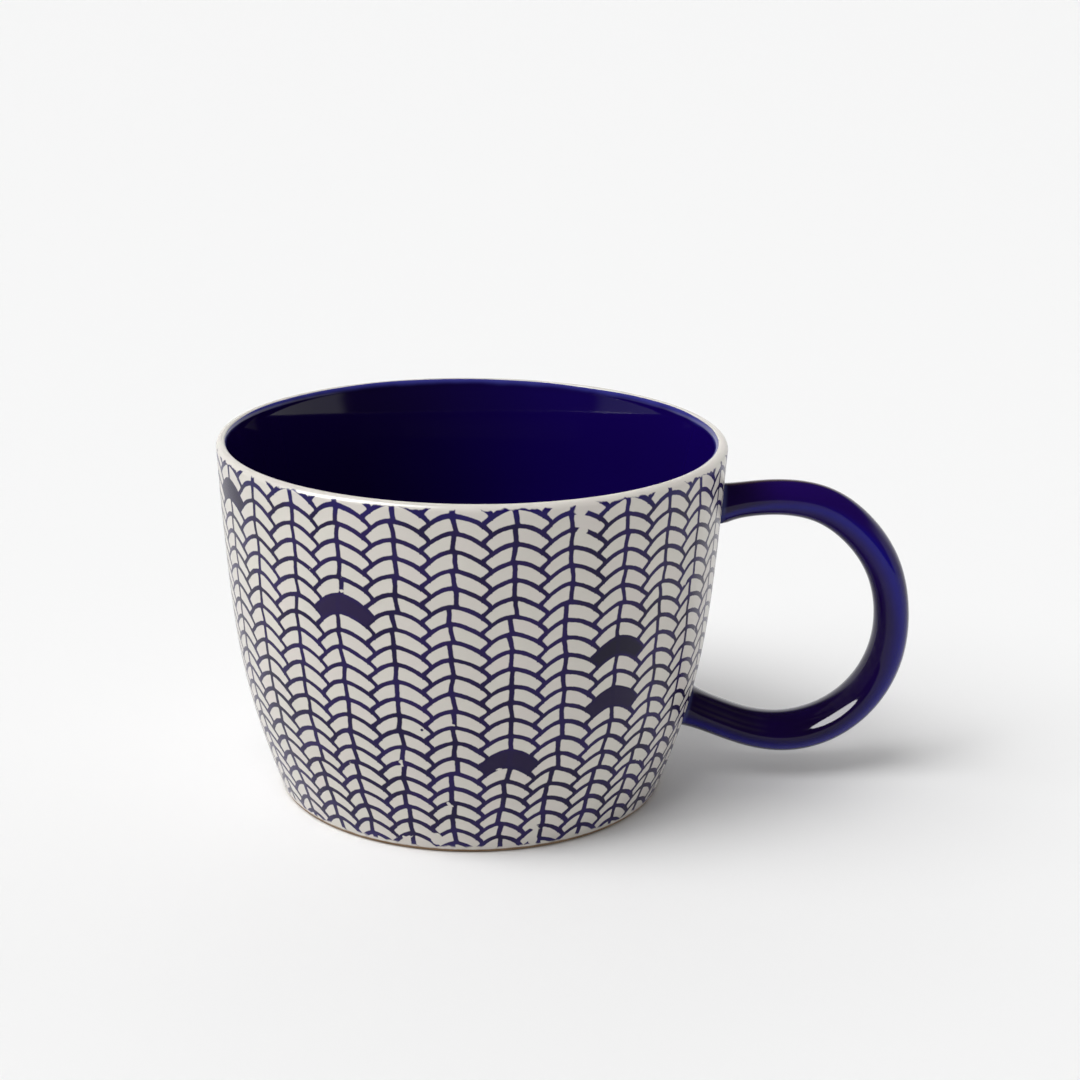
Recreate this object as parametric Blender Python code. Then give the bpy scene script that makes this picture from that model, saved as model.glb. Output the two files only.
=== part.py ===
"""A hand-finished stoneware mug: a turned cup, a pulled loop handle and two glaze coats.

Units are metres, +Z is up, the mug stands on Z = 0 and its handle points along +X.
The origin is the bottom centre of the whole mug's bounding box, so the cup's own
axis lies at X = CUP_X, a little to the left of it.
"""

import math

import bmesh
import bpy
import numpy as np
from mathutils import Vector
from mathutils.geometry import interpolate_bezier

MM = 0.001

# ---- driving dimensions ----------------------------------------------------
HEIGHT = 76.0 * MM
RIM_RADIUS = 52.6 * MM
FOOT_RADIUS = 40.5 * MM
LIP_THICKNESS = 2.8 * MM
GLAZE = 0.5 * MM  # thickness of each glaze coat
GAP = 0.3 * MM  # clearance between neighbouring solids

FLOOR_TOP = 7.0 * MM  # the drinking side of the floor
FLOOR_FLAT_RADIUS = 24.0 * MM
FOOT_RING_INNER = 31.0 * MM
FOOT_RECESS = 1.6 * MM
FOOT_BEVEL = 0.4 * MM
BARE_BAND = 1.0 * MM  # height of the bare clay band at the foot
GLAZE_STOPS_AT = BARE_BAND + GAP

LIP_ROUND = LIP_THICKNESS / 2
COLOUR_CHANGE_DEG = 110.0  # where white meets cobalt on the rounded lip, 90 is its crest
COLOUR_CHANGE_GAP_DEG = 12.0

TURNED_SIDES = 48
HANDLE_SIDES = 16
HANDLE_RINGS = 30
ROOT_RINGS = 5

# The handle's centre line in its own plane, as seen from the front, with the section
# there: (distance from the cup's axis, height, thickness in the plane, width across it).
HANDLE_STATIONS = [
    (52.3, 60.5, 9.6, 11.4),
    (54.8, 61.1, 7.8, 9.4),
    (58.5, 61.7, 7.0, 8.4),
    (65.5, 61.9, 7.0, 8.2),
    (73.5, 60.3, 7.4, 8.4),
    (81.0, 55.4, 7.8, 9.0),
    (86.7, 47.6, 7.6, 9.4),
    (89.4, 37.6, 7.4, 9.8),
    (88.7, 27.4, 7.7, 10.4),
    (84.4, 18.5, 8.1, 11.2),
    (77.0, 12.2, 8.4, 12.0),
    (68.0, 9.6, 8.3, 12.2),
    (59.5, 10.5, 7.8, 11.6),
    (52.6, 12.9, 7.6, 11.2),
    (48.6, 14.5, 8.4, 12.0),
    (45.6, 15.8, 10.4, 14.0),
]
UPPER_ROOT_AT = 2  # station where the upper root meets the loop
LOWER_ROOT_AT = 13  # station where the lower root meets the loop


# ---- curves ----------------------------------------------------------------
def bezier(start, pull_start, pull_end, end, count):
    """Points of one cubic curve in the profile plane, as (radius, height)."""
    knots = [Vector((r, z, 0.0)) for r, z in (start, pull_start, pull_end, end)]
    return [(p.x, p.y) for p in interpolate_bezier(*knots, count)]


def smooth_through(values, where):
    """A natural cubic spline through the rows of values, read at the places in where."""
    values = np.array(values, float)
    steps = np.diff(values[:, :2], axis=0)
    at = np.concatenate([[0.0], np.cumsum(np.hypot(steps[:, 0], steps[:, 1]))])
    gaps = np.diff(at)
    slopes = np.diff(values, axis=0) / gaps[:, None]
    count = len(values)
    system, wanted = np.eye(count), np.zeros_like(values)
    for i in range(1, count - 1):
        system[i, i - 1 : i + 2] = gaps[i - 1], 2 * (gaps[i - 1] + gaps[i]), gaps[i]
        wanted[i] = 6 * (slopes[i] - slopes[i - 1])
    bend = np.linalg.solve(system, wanted)
    found = np.interp(where, np.arange(count), at)
    piece = np.clip(np.searchsorted(at, found, side="right") - 1, 0, count - 2)
    h = gaps[piece][:, None]
    left = (at[piece + 1] - found)[:, None]
    right = (found - at[piece])[:, None]
    curved = (bend[piece] * left**3 + bend[piece + 1] * right**3) / (6 * h)
    low = (values[piece] / h - bend[piece] * h / 6) * left
    high = (values[piece + 1] / h - bend[piece + 1] * h / 6) * right
    return curved + low + high


def offset(points, distance):
    """The profile moved to its left-hand side as it is walked, which is into the clay."""
    path = np.array(points)
    ahead = np.gradient(path, axis=0)
    ahead /= np.linalg.norm(ahead, axis=1)[:, None]
    left = np.stack([-ahead[:, 1], ahead[:, 0]], axis=1)
    moved = path + distance * left
    moved[np.abs(path[:, 0]) < 1e-9, 0] = 0.0
    return [tuple(p) for p in moved]


# ---- the cup's profile, walked up the outside and down the inside ------------
LIP_CENTRE = (RIM_RADIUS - LIP_ROUND, HEIGHT - LIP_ROUND)


def lip_arc(from_deg, to_deg, count, radius):
    """Part of the rounded lip: 0 degrees faces out, 90 up and 180 in."""
    turns = [math.radians(from_deg + (to_deg - from_deg) * i / (count - 1)) for i in range(count)]
    return [
        (LIP_CENTRE[0] + radius * math.cos(a), LIP_CENTRE[1] + radius * math.sin(a)) for a in turns
    ]


def outer_wall(count=11):
    """The outside, from the floor up to the lip: full low down, nearly upright at the rim."""
    return bezier(
        (FOOT_RADIUS, 0.0),
        (FOOT_RADIUS + 9.6 * MM, 0.342 * HEIGHT),
        (RIM_RADIUS - 2.2 * MM, 0.50 * HEIGHT),
        (RIM_RADIUS, LIP_CENTRE[1]),
        count,
    )


def outer_wall_above(height):
    """The outside again, starting at a height instead of at the floor."""
    return [(outer_radius(height), height)] + [p for p in outer_wall() if p[1] > height + MM]


def inner_wall(side_count=8, corner_count=7):
    """The drinking side, from the lip down a gently flared wall and round to the floor."""
    top = (RIM_RADIUS - LIP_THICKNESS, LIP_CENTRE[1])
    turn = (44.3 * MM, 26.0 * MM)
    side = bezier(top, (47.0 * MM, 62.0 * MM), (47.2 * MM, 43.0 * MM), turn, side_count)
    corner = bezier(
        turn, (42.2 * MM, 14.0 * MM), (36.5 * MM, FLOOR_TOP), (FLOOR_FLAT_RADIUS, FLOOR_TOP),
        corner_count,
    )
    return side[1:] + corner[1:] + [(0.0, FLOOR_TOP)]


def outer_radius(height):
    """The radius of the cup's outside at a height."""
    wall = np.array(outer_wall(60))
    return float(np.interp(height, wall[:, 1], wall[:, 0]))


# ---- solids ----------------------------------------------------------------
def object_from(name, mesh_maker, material):
    """One object of the scene from a function that fills a bmesh."""
    shape = bmesh.new()
    mesh_maker(shape)
    bmesh.ops.remove_doubles(shape, verts=shape.verts, dist=1e-7)
    bmesh.ops.recalc_face_normals(shape, faces=shape.faces)
    mesh = bpy.data.meshes.new(name)
    shape.to_mesh(mesh)
    shape.free()
    mesh.shade_smooth()
    mesh.set_sharp_from_angle(angle=math.radians(40))
    mesh.materials.append(material)
    thing = bpy.data.objects.new(name, mesh)
    bpy.context.scene.collection.objects.link(thing)
    return thing


def turned(outline):
    """A maker that spins a closed (radius, height) outline round the cup's axis."""

    def make(shape):
        verts = [shape.verts.new((r, 0.0, z)) for r, z in outline]
        on_axis = outline[0][0] < 1e-9 and outline[-1][0] < 1e-9
        pairs = list(zip(verts, verts[1:])) + ([] if on_axis else [(verts[-1], verts[0])])
        edges = [shape.edges.new(pair) for pair in pairs]
        bmesh.ops.spin(
            shape,
            geom=verts + edges,
            cent=(0, 0, 0),
            axis=(0, 0, 1),
            angle=math.tau,
            steps=TURNED_SIDES,
            use_merge=True,
        )

    return make


def lofted(rings, start_caps, end_caps):
    """A maker that skins the rings, and the smaller rings that close each end."""

    def make(shape):
        whole = [ring for ring in reversed(start_caps)] + list(rings) + list(end_caps)
        loops = [[shape.verts.new(p) for p in ring] for ring in whole]
        for near, far in zip(loops, loops[1:]):
            for i in range(len(near)):
                j = (i + 1) % len(near)
                shape.faces.new((near[i], near[j], far[j], far[i]))
        shape.faces.new(loops[0])
        shape.faces.new(loops[-1])

    return make


def material(name, colour, roughness):
    made = bpy.data.materials.new(name)
    made.use_nodes = True
    shader = made.node_tree.nodes["Principled BSDF"]
    shader.inputs["Base Color"].default_value = (*colour, 1.0)
    shader.inputs["Roughness"].default_value = roughness
    shader.inputs["Metallic"].default_value = 0.0
    return made


# ---- the handle ------------------------------------------------------------
def handle_stations(first, last, count):
    """Centres, sections and directions along the handle between two stations."""
    table = np.array(HANDLE_STATIONS) * MM
    where = np.linspace(first, last, count)
    rows = smooth_through(table, where)
    step = 0.01
    ahead = smooth_through(table, where + step)[:, :2] - smooth_through(table, where - step)[:, :2]
    ahead /= np.linalg.norm(ahead, axis=1)[:, None]
    return rows, ahead


def section(row, ahead, shrink=1.0):
    """One oval ring round the centre line: thickness in the handle's plane, width across it."""
    across = np.array([-ahead[1], ahead[0]])
    ring = []
    for i in range(HANDLE_SIDES):
        turn = math.tau * i / HANDLE_SIDES
        in_plane = 0.5 * row[2] * shrink * math.cos(turn)
        sideways = 0.5 * row[3] * shrink * math.sin(turn)
        ring.append((row[0] + across[0] * in_plane, sideways, row[1] + across[1] * in_plane))
    return ring


def on_wall(ring, clearance):
    """The ring pushed straight in X until it lies a clearance off the cup's outside."""
    pushed = []
    for _, y, z in ring:
        radius = outer_radius(z) + clearance
        pushed.append((math.sqrt(radius**2 - y**2), y, z))
    return pushed


def handle_loop():
    """The free part of the handle, from root to root."""
    rows, ahead = handle_stations(UPPER_ROOT_AT, LOWER_ROOT_AT, HANDLE_RINGS)
    rings = [section(row, way) for row, way in zip(rows, ahead)]
    return lofted(rings, [], [])


def handle_root(loop_station, wall_station):
    """A flared root of luting slip, from just short of the loop to the cup's wall."""
    rows, ahead = handle_stations(loop_station, wall_station, ROOT_RINGS)
    toward_wall = ahead * (1 if wall_station > loop_station else -1)
    rows = rows.copy()
    rows[0, :2] += toward_wall[0] * GAP
    rings = [section(row, way) for row, way in zip(rows, ahead)]
    rings[-1] = on_wall(rings[-1], GAP)
    caps = [on_wall(section(rows[-1], ahead[-1], shrink), GAP) for shrink in (0.66, 0.33)]
    return lofted(rings, [], caps)


def handle_reach():
    """How far the handle's outermost point lies from the cup's axis."""
    rows, ahead = handle_stations(UPPER_ROOT_AT, LOWER_ROOT_AT, HANDLE_RINGS)
    return max(x for row, way in zip(rows, ahead) for x, _, _ in section(row, way))


# ---- the cup and its glaze -------------------------------------------------
def cup_body():
    """The fired clay: bare and flush at the foot, elsewhere a glaze coat and a gap inside the skin."""
    depth = GLAZE + GAP
    wall = offset(outer_wall_above(BARE_BAND), depth)
    lip = lip_arc(0, 180, 5, LIP_ROUND - depth)
    inside = offset(inner_wall(), depth)
    foot = [
        (0.0, FOOT_RECESS),
        (FOOT_RING_INNER - FOOT_RECESS, FOOT_RECESS),
        (FOOT_RING_INNER, 0.0),
        (FOOT_RADIUS - FOOT_BEVEL, 0.0),
        (outer_radius(FOOT_BEVEL), FOOT_BEVEL),
        (outer_radius(BARE_BAND), BARE_BAND),
    ]
    return turned(foot + wall[:-1] + lip + inside)


def outer_glaze():
    """The printed white coat, from the bare foot up the outside and over the lip's crest."""
    wall = outer_wall_above(GLAZE_STOPS_AT)
    lip_end = COLOUR_CHANGE_DEG - COLOUR_CHANGE_GAP_DEG / 2
    skin = wall[:-1] + lip_arc(0, lip_end, 5, LIP_ROUND)
    back = offset(wall, GLAZE)[:-1] + lip_arc(0, lip_end, 5, LIP_ROUND - GLAZE)
    return turned(skin + back[::-1])


def inner_glaze():
    """The cobalt liner, from the lip's inner shoulder down the wall and across the floor."""
    lip_start = COLOUR_CHANGE_DEG + COLOUR_CHANGE_GAP_DEG / 2
    skin = lip_arc(lip_start, 180, 4, LIP_ROUND) + inner_wall()
    back = lip_arc(lip_start, 180, 4, LIP_ROUND - GLAZE) + offset(inner_wall(), GLAZE)
    return turned(back[::-1] + skin)


def build():
    for old in list(bpy.data.objects):
        bpy.data.objects.remove(old)

    clay = material("fired_clay", (0.36, 0.26, 0.18), 0.85)
    white = material("printed_white_glaze", (0.80, 0.77, 0.68), 0.12)
    cobalt = material("cobalt_liner_glaze", (0.012, 0.004, 0.10), 0.06)
    handle_blue = material("cobalt_handle_glaze", (0.018, 0.012, 0.16), 0.08)

    last = len(HANDLE_STATIONS) - 1
    pieces = [
        object_from("cup_body", cup_body(), clay),
        object_from("outer_glaze", outer_glaze(), white),
        object_from("inner_glaze", inner_glaze(), cobalt),
        object_from("handle", handle_loop(), handle_blue),
        object_from("handle_root_upper", handle_root(UPPER_ROOT_AT, 0), handle_blue),
        object_from("handle_root_lower", handle_root(LOWER_ROOT_AT, last), handle_blue),
    ]

    cup_x = (RIM_RADIUS - handle_reach()) / 2
    cup_axis = bpy.data.objects.new("cup_axis", None)
    cup_axis.location.x = cup_x
    bpy.context.scene.collection.objects.link(cup_axis)
    for piece in pieces:
        piece.parent = cup_axis


build()
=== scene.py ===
# %% [markdown]
# # A printed stoneware mug
#
# The mug is stoneware: a turned cup, a pulled loop handle luted onto it, a white glaze with a
# cobalt print outside, and a dark cobalt glaze inside and over the handle. It is made here in
# the order a potter works: the clay cup, the white coat with its print, the cobalt liner, then
# the handle. The room comes last. The CAD part is the fixed frame: each piece below takes the
# place of CAD solids, so the cup's centre, rim and height are read from it and not typed again.

import math

import bpy
import numpy as np
from mathutils import Matrix, Vector


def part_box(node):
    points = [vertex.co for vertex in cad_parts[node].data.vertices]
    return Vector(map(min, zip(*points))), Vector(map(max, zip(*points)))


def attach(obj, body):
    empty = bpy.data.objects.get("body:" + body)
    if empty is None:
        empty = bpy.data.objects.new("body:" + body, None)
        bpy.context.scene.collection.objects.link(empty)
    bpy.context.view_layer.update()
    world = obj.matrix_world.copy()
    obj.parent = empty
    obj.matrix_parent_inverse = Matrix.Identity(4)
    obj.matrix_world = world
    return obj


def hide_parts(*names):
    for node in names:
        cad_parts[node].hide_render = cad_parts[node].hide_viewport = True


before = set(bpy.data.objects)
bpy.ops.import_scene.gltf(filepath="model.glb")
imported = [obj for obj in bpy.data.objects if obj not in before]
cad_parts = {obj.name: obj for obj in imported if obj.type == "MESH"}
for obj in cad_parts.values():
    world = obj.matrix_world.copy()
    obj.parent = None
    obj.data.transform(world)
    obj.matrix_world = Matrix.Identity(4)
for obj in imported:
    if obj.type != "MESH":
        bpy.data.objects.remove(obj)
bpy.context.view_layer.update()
MM = 0.001

low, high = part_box("outer_glaze")
cup_x = (low.x + high.x) / 2
rim_radius = (high.x - low.x) / 2
cup_height = high.z
print("cup axis at x =", round(cup_x / MM, 2), "mm, rim radius", round(rim_radius / MM, 2), "mm")
print("cup height", round(cup_height / MM, 2), "mm; CAD nodes:", ", ".join(sorted(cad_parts)))


# %% [markdown]
# ## The turned profile
#
# A cup like this is thrown or jiggered: every surface is one line turned round the axis. So the
# whole cup is described by a profile in (radius, height), walked up the outside, over the round
# lip and down the inside. Cubic curves give the fair, slightly swelling line that a throwing rib
# leaves; a chain of short straights would show as rings in the gloss.

# %% Profile curves
foot_radius = 40.5 * MM
lip_thickness = 2.8 * MM
lip_round = lip_thickness / 2
floor_top = 7.0 * MM
lip_centre = np.array([rim_radius - lip_round, cup_height - lip_round])


def cubic(start, pull_start, pull_end, end, count):
    """Points of one cubic curve, as rows of (radius, height)."""
    t = np.linspace(0.0, 1.0, count)[:, None]
    a, b, c, d = (np.array(p, float) for p in (start, pull_start, pull_end, end))
    return (1 - t) ** 3 * a + 3 * (1 - t) ** 2 * t * b + 3 * (1 - t) * t * t * c + t**3 * d


def lip_points(from_deg, to_deg, count, radius=lip_round):
    """Part of the round lip: 0 degrees faces out, 90 up and 180 in."""
    turn = np.radians(np.linspace(from_deg, to_deg, count))
    return lip_centre + radius * np.stack([np.cos(turn), np.sin(turn)], axis=1)


outer_line = cubic(
    (foot_radius, 0.0),
    (foot_radius + 9.6 * MM, 0.342 * cup_height),
    (rim_radius - 2.2 * MM, 0.50 * cup_height),
    (rim_radius, lip_centre[1]),
    400,
)
turn_in = (44.3 * MM, 26.0 * MM)
inner_side = cubic(
    (rim_radius - lip_thickness, lip_centre[1]), (47.0 * MM, 62.0 * MM), (47.2 * MM, 43.0 * MM), turn_in, 40
)
inner_corner = cubic(turn_in, (42.2 * MM, 14.0 * MM), (36.5 * MM, floor_top), (24.0 * MM, floor_top), 28)
inner_floor = np.array([[r * MM, floor_top] for r in (18.0, 12.0, 6.0, 2.0)])
inner_line = np.concatenate([inner_side, inner_corner[1:], inner_floor])


def outer_radius(height):
    """The radius of the cup's outside at a height."""
    return np.interp(height, outer_line[:, 1], outer_line[:, 0])


def inward(line, distance):
    """The line moved a distance to its left as it is walked, which is into the clay."""
    ahead = np.gradient(line, axis=0)
    ahead /= np.linalg.norm(ahead, axis=1)[:, None]
    return line + distance * np.stack([-ahead[:, 1], ahead[:, 0]], axis=1)


wall_steps = np.hypot(*np.diff(outer_line, axis=0).T)
wall_climb = np.concatenate([[0.0], np.cumsum(wall_steps)])
wall_length = float(wall_climb[-1])
print("outside wall is", round(wall_length / MM, 2), "mm long from floor to lip")


# %% [markdown]
# ## Turning a line into a body
#
# One helper turns any line, and lets it change a little with the direction round the cup. That
# is how the glaze edges get their wander: a brushed or dipped edge is never a perfect circle.
# The cup itself is a touch out of round too, always inwards, so that it stays inside its frame.

# %% Turning helper
SIDES = 240
around = np.linspace(0.0, math.tau, SIDES, endpoint=False)


def wander(angle, waves):
    """A smooth closed wobble from a few (times round, size, phase) waves."""
    return sum(size * np.sin(times * angle + phase) for times, size, phase in waves)


def out_of_round(angle, height):
    """How far inwards the soft clay sits from a true circle, growing towards the rim."""
    grow = np.clip(height / cup_height, 0.0, 1.0) ** 2
    return grow * 0.12 * MM * (1.0 - np.cos(2 * angle + 0.9)) / 2


def rim_drop(angle, height):
    """How far the soft rim sagged below a level plane, most of it at the front."""
    near_rim = np.clip(height / cup_height - 0.55, 0.0, 0.45) / 0.45
    return near_rim**2 * (0.70 + 0.30 * np.cos(angle)) * MM


def lip_thinning(angle, radius, height):
    """How far the inner side of the lip is pressed outwards, which is most at the left."""
    inside = np.clip((rim_radius - radius) / lip_thickness, 0.0, 1.0)
    near_rim = np.clip(height / cup_height - 0.70, 0.0, 0.30) / 0.30
    return 0.70 * MM * inside * near_rim * ((1.0 - np.sin(angle)) / 2) ** 2


def link_object(name, mesh, material):
    """Puts a finished mesh into the scene with its glaze or clay on."""
    mesh.materials.append(material)
    thing = bpy.data.objects.new(name, mesh)
    bpy.context.scene.collection.objects.link(thing)
    return thing


def turned(name, line_at, material, closed=False, prints=None):
    """A body turned round the cup's axis. line_at(angle) gives the (radius, height) line there."""
    lines = np.array([line_at(angle) for angle in around])
    count = lines.shape[1]
    pull = out_of_round(around[:, None], lines[:, :, 1])
    pull = pull - lip_thinning(around[:, None], lines[:, :, 0], lines[:, :, 1])
    radius = np.where(lines[:, :, 0] > 1 * MM, lines[:, :, 0] - pull, lines[:, :, 0])
    heights = lines[:, :, 1] - rim_drop(around[:, None], lines[:, :, 1])
    points = np.stack(
        [
            cup_x + radius * np.sin(around)[:, None],
            -radius * np.cos(around)[:, None],
            heights,
        ],
        axis=2,
    ).reshape(-1, 3)
    faces, corners = [], []
    steps = count if closed else count - 1
    for a in range(SIDES):
        b = (a + 1) % SIDES
        for k in range(steps):
            m = (k + 1) % count
            faces.append((a * count + k, b * count + k, b * count + m, a * count + m))
            corners += [(a, a, k), (a, a + 1, k), (a, a + 1, m), (a, a, m)]
    points = points.tolist()
    for end in () if closed else (0, count - 1):
        centre = len(points)
        points.append([cup_x, 0.0, float(lines[:, end, 1].mean())])
        for a in range(SIDES):
            b = (a + 1) % SIDES
            pair = (b * count + end, a * count + end) if end == 0 else (a * count + end, b * count + end)
            faces.append((*pair, centre))
    mesh = bpy.data.meshes.new(name)
    mesh.from_pydata(points, [], faces)
    mesh.shade_smooth()
    depth = np.full(len(points), cup_height)
    depth[: lines[:, :, 1].size] -= lines[:, :, 1].reshape(-1)
    below = mesh.attributes.new("below_lip", "FLOAT", "POINT")
    below.data.foreach_set("value", depth.astype(np.float32))
    if prints is not None:
        layer = mesh.uv_layers.new(name="Print")
        face_side, side, station = np.array(corners).T
        places = prints(face_side, side, lines[side % SIDES, station])
        layer.data.foreach_set("uv", places.astype(np.float32).reshape(-1))
    thing = link_object(name, mesh, material)
    print(name, len(mesh.vertices), "points,", len(mesh.polygons), "faces")
    return thing


most_drop = float(rim_drop(0.0, cup_height)) / MM
print("a turned body has", SIDES, "sides, and the rim sags up to", round(most_drop, 2), "mm")

# %% [markdown]
# ## A way to write glaze recipes
#
# A glaze colour is layered: clay under a white coat under printed cobalt, each with its own
# flaws. The small class below lets those layers be written as sums and mixtures, and lays down
# one shader node for each step, so nothing depends on any outside file.

# %% Recipe helper
class Recipe:
    """A material whose colour and gloss are worked out step by step."""

    def __init__(self, name):
        self.material = bpy.data.materials.new(name)
        self.material.use_nodes = True
        self.tree = self.material.node_tree
        self.shader = self.tree.nodes["Principled BSDF"]

    def node(self, kind, **settings):
        made = self.tree.nodes.new(kind)
        for key, value in settings.items():
            setattr(made, key, value)
        return made

    def put(self, socket, value):
        if isinstance(value, bpy.types.NodeSocket):
            self.tree.links.new(value, socket)
        else:
            socket.default_value = value

    def math(self, operation, *values, clamp=False):
        made = self.node("ShaderNodeMath", operation=operation, use_clamp=clamp)
        for socket, value in zip(made.inputs, values):
            self.put(socket, value)
        return made.outputs[0]

    def add(self, a, b):
        return self.math("ADD", a, b)

    def sub(self, a, b):
        return self.math("SUBTRACT", a, b)

    def mul(self, a, b):
        return self.math("MULTIPLY", a, b)

    def ramp(self, value, start, end, low_value=0.0, high_value=1.0):
        """Low before start, high after end, and a soft step between."""
        made = self.node("ShaderNodeMapRange", interpolation_type="SMOOTHSTEP")
        for key, given in zip(
            ("Value", "From Min", "From Max", "To Min", "To Max"),
            (value, start, end, low_value, high_value),
        ):
            self.put(made.inputs[key], given)
        return made.outputs["Result"]

    def vector(self, x, y, z=0.0):
        made = self.node("ShaderNodeCombineXYZ")
        for socket, value in zip(made.inputs, (x, y, z)):
            self.put(socket, value)
        return made.outputs[0]

    def split(self, vector):
        made = self.node("ShaderNodeSeparateXYZ")
        self.put(made.inputs[0], vector)
        return made.outputs

    def noise(self, where, scale, detail=2.0, rough=0.5):
        made = self.node("ShaderNodeTexNoise")
        self.put(made.inputs["Vector"], where)
        made.inputs["Scale"].default_value = scale
        made.inputs["Detail"].default_value = detail
        made.inputs["Roughness"].default_value = rough
        return made.outputs["Fac"]

    def chance(self, x, y, z=0.0):
        """One even random number for each whole-number place."""
        made = self.node("ShaderNodeTexWhiteNoise", noise_dimensions="3D")
        self.put(made.inputs["Vector"], self.vector(x, y, z))
        return made.outputs["Value"]

    def blend(self, share, first, second):
        """A colour between two colours."""
        made = self.node("ShaderNodeMix", data_type="RGBA")
        self.put(made.inputs[0], share)
        # inputs 6 and 7 are this node's two colours, and output 2 is the mixed one
        for socket, value in ((made.inputs[6], first), (made.inputs[7], second)):
            self.put(socket, value if isinstance(value, bpy.types.NodeSocket) else (*value, 1.0))
        return made.outputs[2]

    def place(self):
        """Where the point is in the mug's frame, in metres."""
        return self.node("ShaderNodeTexCoord").outputs["Object"]

    def print_place(self):
        """The (columns round, rows down) place stored with the printed coat."""
        return self.split(self.node("ShaderNodeUVMap", uv_map="Print").outputs[0])

    def bump(self, height, depth):
        made = self.node("ShaderNodeBump")
        made.inputs["Strength"].default_value = 1.0
        made.inputs["Distance"].default_value = depth
        self.put(made.inputs["Height"], height)
        self.put(self.shader.inputs["Normal"], made.outputs["Normal"])

    def finish_with(self, **values):
        for key, value in values.items():
            self.put(self.shader.inputs[key.replace("_", " ")], value)


ways = [word for word in vars(Recipe) if not word.startswith("__")]
print("a recipe can be written in", len(ways), "kinds of step")

# %% [markdown]
# ## The fired clay
#
# Stoneware fires to a warm grey-brown. It shows only where glaze must not touch the kiln shelf:
# the foot ring and the thin line above it, where iron in the body flashes darker. Bare clay is
# matt and slightly sandy, so it gets two grains of noise and a shallow bump.

# %% Clay recipe and the clay cup
glaze_depth = 0.5 * MM
glaze_gap = 0.02 * MM  # keeps the clay's surface clear of the back of its glaze
bare_height = 0.50 * MM
ring_inner = 31.0 * MM
recess = 1.6 * MM

clay = Recipe("bare_clay")
where = clay.place()
grain = clay.noise(where, 900.0, 3.0)
patches = clay.noise(where, 90.0, 3.0)
dark_spots = clay.ramp(clay.noise(where, 1500.0, 1.0), 0.68, 0.74)
body_colour = clay.blend(clay.ramp(patches, 0.35, 0.65), (0.25, 0.155, 0.085), (0.36, 0.245, 0.155))
body_colour = clay.blend(clay.mul(dark_spots, 0.6), body_colour, (0.10, 0.06, 0.04))
clay.finish_with(Base_Color=body_colour, Roughness=0.85)
clay.bump(grain, 0.05 * MM)


def clay_line(angle):
    """Foot, wall, lip and inside of the clay, a glaze coat inside the finished skin."""
    foot = np.array(
        [
            (ring_inner - recess, recess),
            (ring_inner - 0.25 * MM, 0.25 * MM),
            (ring_inner + 0.3 * MM, 0.0),
            (foot_radius - 0.45 * MM, 0.0),
            (foot_radius - 0.16 * MM, 0.10 * MM),
            (outer_radius(0.25 * MM) - 0.05 * MM, 0.25 * MM),
            (outer_radius(0.6 * MM) - 0.35 * MM, 0.6 * MM),
        ]
    )
    heights = np.concatenate([[1.6 * MM], np.linspace(4 * MM, lip_centre[1], 24)])
    wall = np.stack([outer_radius(heights), heights], axis=1)
    wall = inward(wall, glaze_depth + glaze_gap)
    lip = lip_points(0, 180, 9, lip_round - glaze_depth - glaze_gap)
    inside = inward(inner_line, glaze_depth + glaze_gap)[1::4]
    return np.concatenate([foot, wall[:-1], lip, inside])


clay_cup = turned("clay_cup", clay_line, clay.material)


# %% [markdown]
# ## The print
#
# The white coat carries a cobalt print of overlapping scales, like knitting. On the real mug it
# is a transfer laid on the raw glaze: 29 columns stand round the cup, each a spine with curved
# arms that stop where they meet the arms of the next column, half a row lower. A column keeps
# its direction down the cup, so it narrows with the foot, and low down the wet film was also
# gathered a little towards the front. The pattern is worked out from the place on the wall:
# columns round the cup, and rows down the wall from the lip.

# %% Where the print lies
COLUMNS = 29
ROW = 3.6 * MM
FIRST_SPINE_DEG = 9.1  # direction of the middle column, 0 faces the front and 90 the handle
GATHER_DEG, GATHER_SIDE_DEG = 3.8, 8.0  # how far the wet film was gathered low down, and where
GATHER_FROM, GATHER_OVER = 45.0 * MM, 27.0 * MM
seam_deg = FIRST_SPINE_DEG + 180.0


def print_uv(face_side, side, spots):
    """Columns round and rows down at the corners of the coat's faces; the join is at the back."""
    climbed = np.interp(spots[:, 1], outer_line[:, 1], wall_climb)
    low_down = np.clip((wall_length - climbed - GATHER_FROM) / GATHER_OVER, 0.0, 1.0)
    gather = GATHER_DEG * low_down**2 * (3 - 2 * low_down)
    gather = gather * np.sin(side * math.tau / SIDES + math.radians(GATHER_SIDE_DEG))
    columns = (side * 360.0 / SIDES + gather - FIRST_SPINE_DEG) / 360.0 * COLUMNS + COLUMNS / 2
    columns = np.where((face_side + 0.5) * 360.0 / SIDES > seam_deg, columns - COLUMNS, columns)
    past_lip = np.arctan2(spots[:, 1] - lip_centre[1], spots[:, 0] - lip_centre[0])
    climbed = climbed + np.where(spots[:, 1] > lip_centre[1], lip_round * past_lip, 0.0)
    climbed = climbed - rim_drop(side * math.tau / SIDES, spots[:, 1])
    return np.stack([columns, (wall_length - climbed) / ROW], axis=1)


print("columns are", round(360 / COLUMNS, 2), "degrees apart, rows", ROW / MM, "mm")
print("rows down the wall:", round(wall_length / ROW, 1))


# %% [markdown]
# ### Drawing one scale
#
# Within a column, t runs from -0.5 to 0.5 across it and V counts rows down. An arm falls away
# from the spine as a parabola. An arm is followed past the edge of its own column only until it
# meets the next arm of the neighbour, and that makes the zigzag joint between two columns. The
# whole drawing drifts a little sideways and steps back every ten rows, which is where the
# transfer's artwork repeats.

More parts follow.
